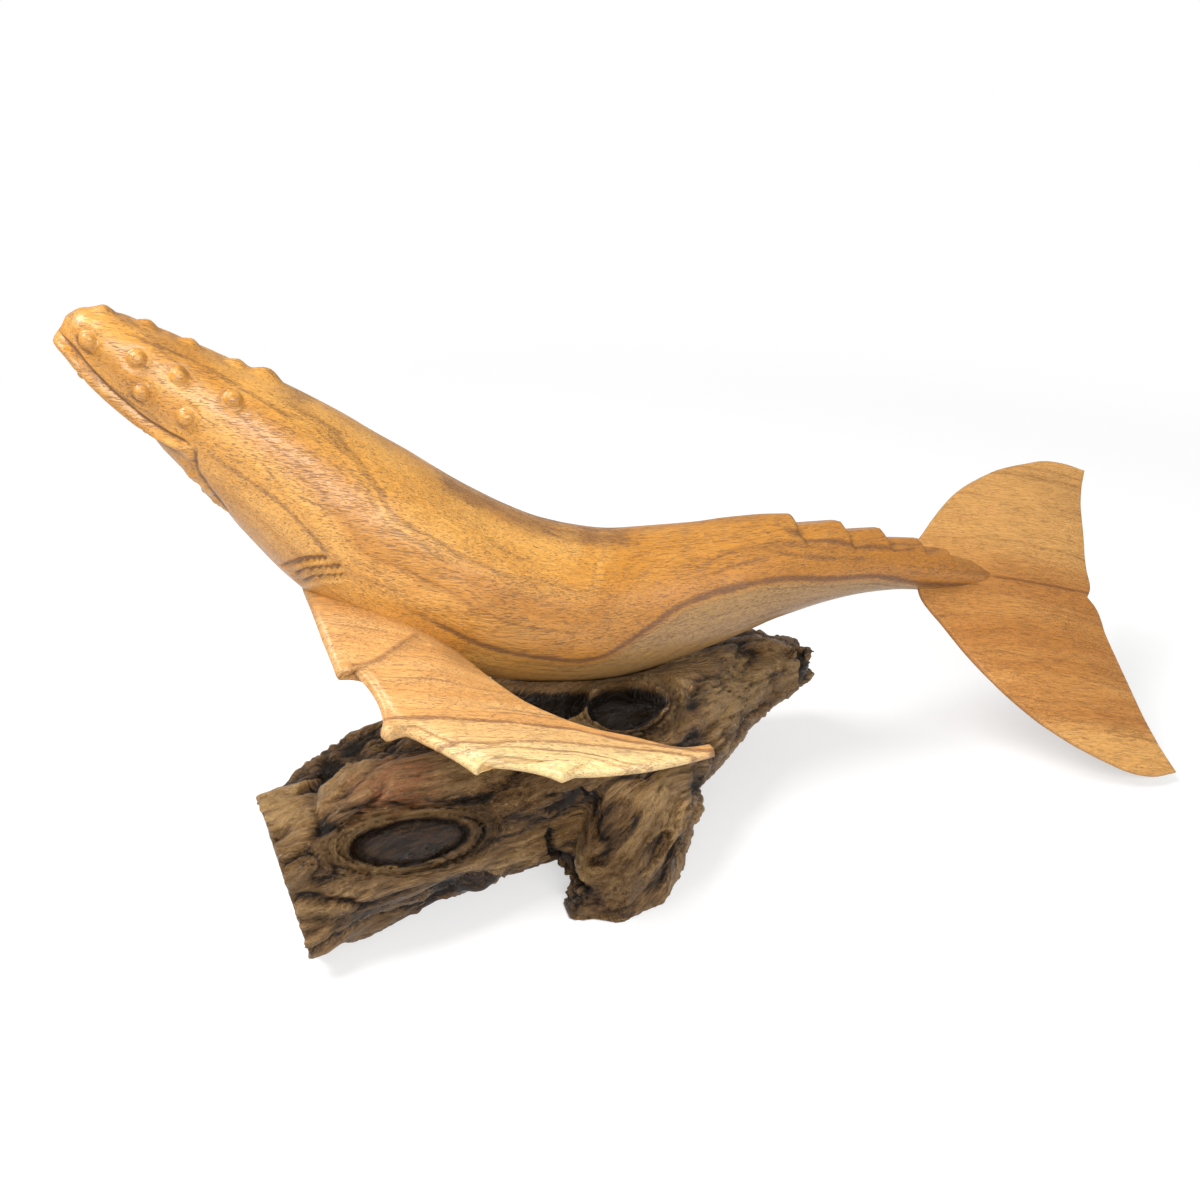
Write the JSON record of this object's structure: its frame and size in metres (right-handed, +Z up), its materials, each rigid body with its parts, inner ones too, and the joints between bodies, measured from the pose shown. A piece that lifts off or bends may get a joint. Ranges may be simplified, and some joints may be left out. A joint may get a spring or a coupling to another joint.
{
  "type": "carved wooden whale figurine",
  "caption": "Carved wooden humpback whale with knuckled back, toothed flippers and raised flukes, which lifts off pegs in a gnarled root base.",
  "frame": {"origin": "on the table, in the base's flat underside, under the middle of the whale's belly", "axes": "+X from the snout to the tail along the whale's middle, +Y to the whale's right side, +Z up from the table"},
  "size_m": [0.4092, 0.1874, 0.194],
  "materials": {
    "body_wood": "satin lacquer over golden orange wood with dark growth lines",
    "flipper_wood": "satin lacquer over pale sapwood with brown streaks",
    "fluke_wood": "satin lacquer over pinkish brown wood, grain across the span",
    "root_wood": "weathered root under uneven varnish, glossy on its ridges",
    "dowel_wood": "bare turned hardwood"
  },
  "bodies": {
    "base": {"root_base": "root_wood", "mounting_pegs": "dowel_wood"},
    "whale": {"whale_body": "body_wood", "left_flipper": "flipper_wood", "right_flipper": "flipper_wood", "tail_flukes": "fluke_wood", "left_flipper_dowels": "dowel_wood", "right_flipper_dowels": "dowel_wood", "tail_dowel": "dowel_wood"}
  },
  "joints": [
    {"name": "whale_lift", "type": "slide", "parent": "base", "child": "whale", "axis": [0, 0, 1], "range_m": [0, 0.04]}
  ]
}
